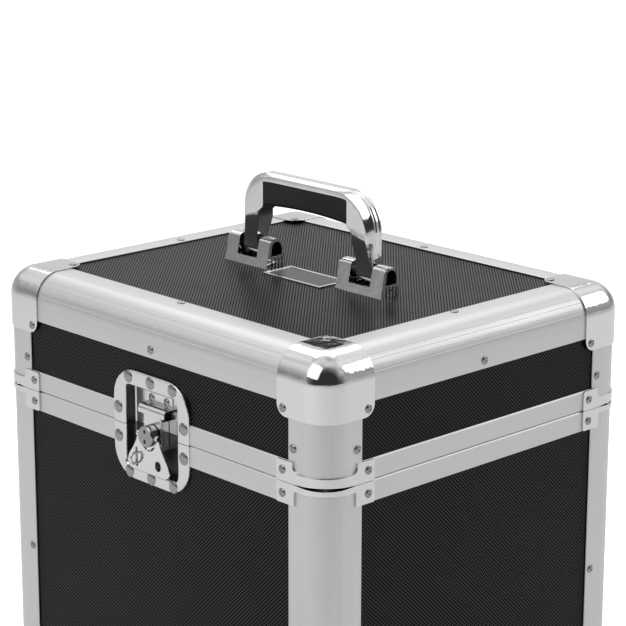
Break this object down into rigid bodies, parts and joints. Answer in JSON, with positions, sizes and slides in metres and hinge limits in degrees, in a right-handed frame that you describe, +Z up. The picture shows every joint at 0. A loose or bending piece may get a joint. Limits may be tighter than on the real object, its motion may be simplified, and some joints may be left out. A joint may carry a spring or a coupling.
{
  "type": "record carrying case",
  "caption": "Tall square carrying case for vinyl records: black panels in aluminium edges, hinged lid, recessed turn latch, fold-down top handle.",
  "frame": {"origin": "centre of the footprint on the plane that the rubber feet stand on", "axes": "+Z up, the latch face towards -Y, the hinges at +Y, +X to the right of someone facing the latch"},
  "size_m": [0.365, 0.3306, 0.4665],
  "materials": {
    "black_laminate": "textured",
    "aluminium_extrusion": "satin",
    "nickel_braces": "satin",
    "chrome_caps": "polished",
    "rubber_foot": "matte",
    "foam_lining": "matte",
    "steel_rivets": "satin",
    "nickel_latch": "satin",
    "chrome_latch": "polished",
    "chrome_handle": "polished",
    "badge_metal": "satin",
    "rubber_grip": "matte"
  },
  "bodies": {
    "base": {"base_front_panel": "black_laminate", "base_back_panel": "black_laminate", "base_left_panel": "black_laminate", "base_right_panel": "black_laminate", "bottom_panel": "black_laminate", "base_corner_posts": "aluminium_extrusion", "bottom_edges": "aluminium_extrusion", "base_rim_front": "aluminium_extrusion", "base_rim_back": "aluminium_extrusion", "base_rim_left": "aluminium_extrusion", "base_rim_right": "aluminium_extrusion", "lower_corner_braces": "nickel_braces", "bottom_corner_caps": "chrome_caps", "rubber_feet": "rubber_foot", "base_wall_foam": "foam_lining", "base_floor_foam": "foam_lining", "base_rivets": "steel_rivets", "latch_dish_base": "nickel_latch", "latch_base_rivets": "steel_rivets", "hinge_base_leaves": "nickel_braces", "hinge_pins": "steel_rivets"},
    "lid": {"top_panel": "black_laminate", "lid_front_panel": "black_laminate", "lid_back_panel": "black_laminate", "lid_left_panel": "black_laminate", "lid_right_panel": "black_laminate", "top_edge_front": "aluminium_extrusion", "top_edge_back": "aluminium_extrusion", "top_edge_left": "aluminium_extrusion", "top_edge_right": "aluminium_extrusion", "lid_corner_posts": "aluminium_extrusion", "lid_rim_front": "aluminium_extrusion", "lid_rim_back": "aluminium_extrusion", "lid_rim_left": "aluminium_extrusion", "lid_rim_right": "aluminium_extrusion", "upper_corner_braces": "nickel_braces", "top_cap_front_left": "chrome_caps", "top_cap_front_right": "chrome_caps", "top_cap_back_left": "chrome_caps", "top_cap_back_right": "chrome_caps", "lid_foam": "foam_lining", "lid_rivets": "steel_rivets", "latch_dish_lid": "nickel_latch", "latch_catch": "nickel_latch", "latch_lid_rivets": "steel_rivets", "hinge_lid_leaves": "nickel_braces", "handle_bracket_left": "chrome_handle", "handle_bracket_right": "chrome_handle", "handle_pivot_pins": "steel_rivets", "handle_bolts": "steel_rivets", "handle_backing_plates": "nickel_braces", "badge_plate": "badge_metal"},
    "handle": {"handle_bail": "chrome_handle", "handle_grip": "rubber_grip"},
    "spindle": {"latch_spindle": "chrome_latch", "padlock_staple": "chrome_latch", "latch_flap_pin": "steel_rivets"},
    "flap": {"latch_flap": "chrome_latch"},
    "strap": {"latch_strap": "nickel_latch"}
  },
  "joints": [
    {"name": "lid_hinge", "type": "hinge", "parent": "base", "child": "lid", "pos_m": [0, 0.1608, 0.3028], "axis": [-1, 0, 0], "range_deg": [0, 100]},
    {"name": "handle_fold", "type": "hinge", "parent": "lid", "child": "handle", "pos_m": [0, 0, 0.406], "axis": [1, 0, 0], "range_deg": [0, 90]},
    {"name": "latch_turn", "type": "hinge", "parent": "base", "child": "spindle", "pos_m": [0, -0.1553, 0.3008], "axis": [0, -1, 0], "range_deg": [0, 180]},
    {"name": "flap_lift", "type": "hinge", "parent": "spindle", "child": "flap", "pos_m": [0, -0.1583, 0.3008], "axis": [-1, 0, 0], "range_deg": [0, 95]},
    {"name": "strap_slide", "type": "slide", "parent": "base", "child": "strap", "axis": [0, 0, 1], "range_m": [0, 0.004]}
  ],
  "couplings": [
    {"joint": "strap_slide", "follows": "latch_turn", "m_per_rad": 0.001273}
  ]
}
